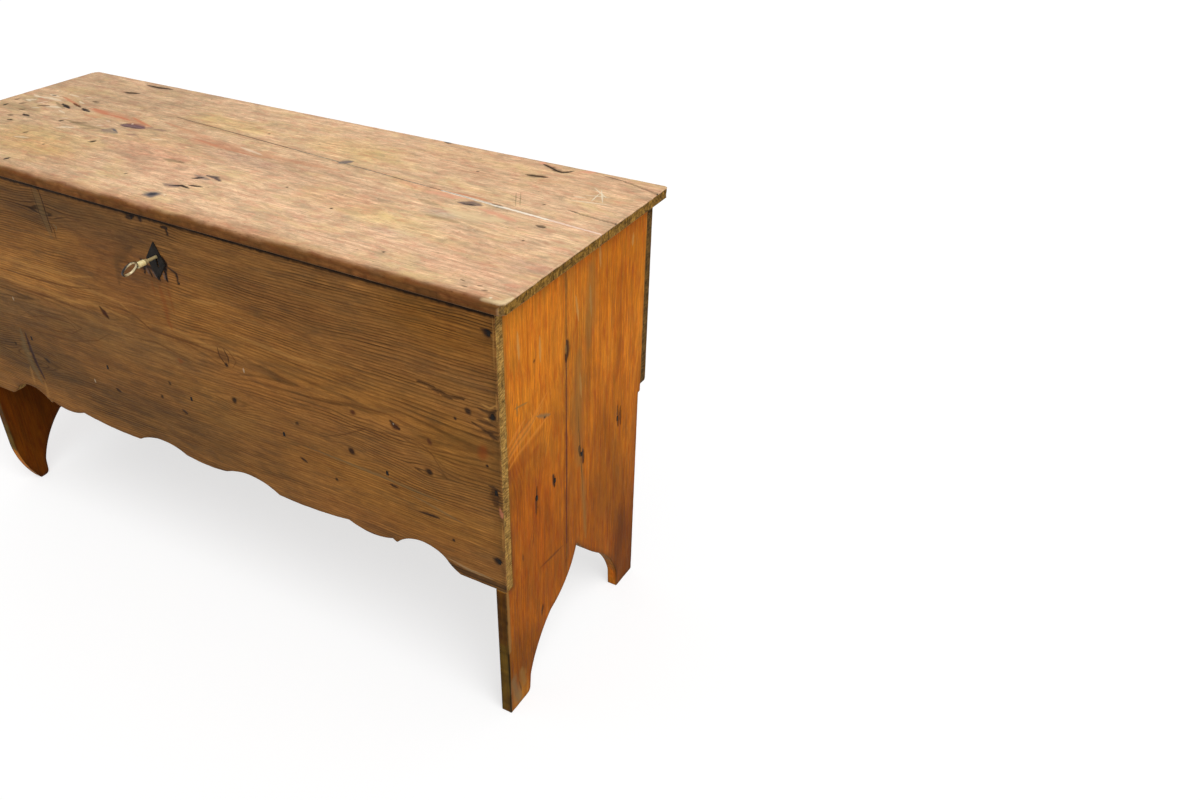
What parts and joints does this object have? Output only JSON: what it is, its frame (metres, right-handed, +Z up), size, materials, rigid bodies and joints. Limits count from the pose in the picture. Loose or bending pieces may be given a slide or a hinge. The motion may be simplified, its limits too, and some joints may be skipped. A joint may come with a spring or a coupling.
{
  "type": "blanket chest",
  "caption": "Boarded pine blanket chest with a hinged lid, scalloped front edge, bootjack feet, iron escutcheon and a key in the lock.",
  "frame": {"origin": "centre of the whole chest's footprint box, lid and key included, on the floor", "axes": "+Z up; -Y out of the front, towards someone facing the chest; +X along the chest to its right end"},
  "size_m": [1.15, 0.459, 0.66],
  "materials": {
    "pine_front": "old waxed pine, worn",
    "pine_end": "old waxed pine, orange",
    "pine_lid": "old pine, scrubbed and dull",
    "pine_back": "bare aged pine",
    "pine_inside": "bare aged pine",
    "iron": "black wrought iron",
    "steel": "worn steel",
    "brass": "worn bright brass"
  },
  "bodies": {
    "case": {"front_board": "pine_front", "right_end_front_board": "pine_end", "right_end_rear_board": "pine_end", "left_end_front_board": "pine_end", "left_end_rear_board": "pine_end", "back_upper_board": "pine_back", "back_lower_board": "pine_back", "floor_front_board": "pine_inside", "floor_rear_board": "pine_inside", "right_floor_cleat": "pine_inside", "left_floor_cleat": "pine_inside", "lock_plate": "iron", "lock_case": "iron", "key_post": "iron", "escutcheon": "iron", "right_hinge_case_staple": "iron", "left_hinge_case_staple": "iron", "front_nails": "iron", "back_nails": "iron", "cleat_nails": "iron", "floor_nails": "iron", "lock_nails": "iron", "escutcheon_pins": "iron"},
    "lid": {"lid_front_board": "pine_lid", "lid_rear_board": "pine_lid", "right_lid_batten": "pine_inside", "left_lid_batten": "pine_inside", "batten_nails": "iron", "lid_hasp": "iron", "hasp_nails": "iron", "right_hinge_lid_staple": "iron", "left_hinge_lid_staple": "iron"},
    "key": {"key": "steel", "key_collar": "brass"},
    "lock_bolt": {"lock_bolt": "iron"}
  },
  "joints": [
    {"name": "lid_hinge", "type": "hinge", "parent": "case", "child": "lid", "pos_m": [0, 0.2245, 0.637], "axis": [-1, 0, 0], "range_deg": [0, 105]},
    {"name": "key_turn", "type": "hinge", "parent": "case", "child": "key", "pos_m": [0.007, -0.17, 0.586], "axis": [0, 1, 0], "range_deg": [-33, 180]},
    {"name": "bolt_slide", "type": "slide", "parent": "case", "child": "lock_bolt", "axis": [1, 0, 0], "range_m": [-0.0019, 0.0103]}
  ],
  "couplings": [
    {"joint": "bolt_slide", "follows": "key_turn", "m_per_rad": 0.00325}
  ]
}
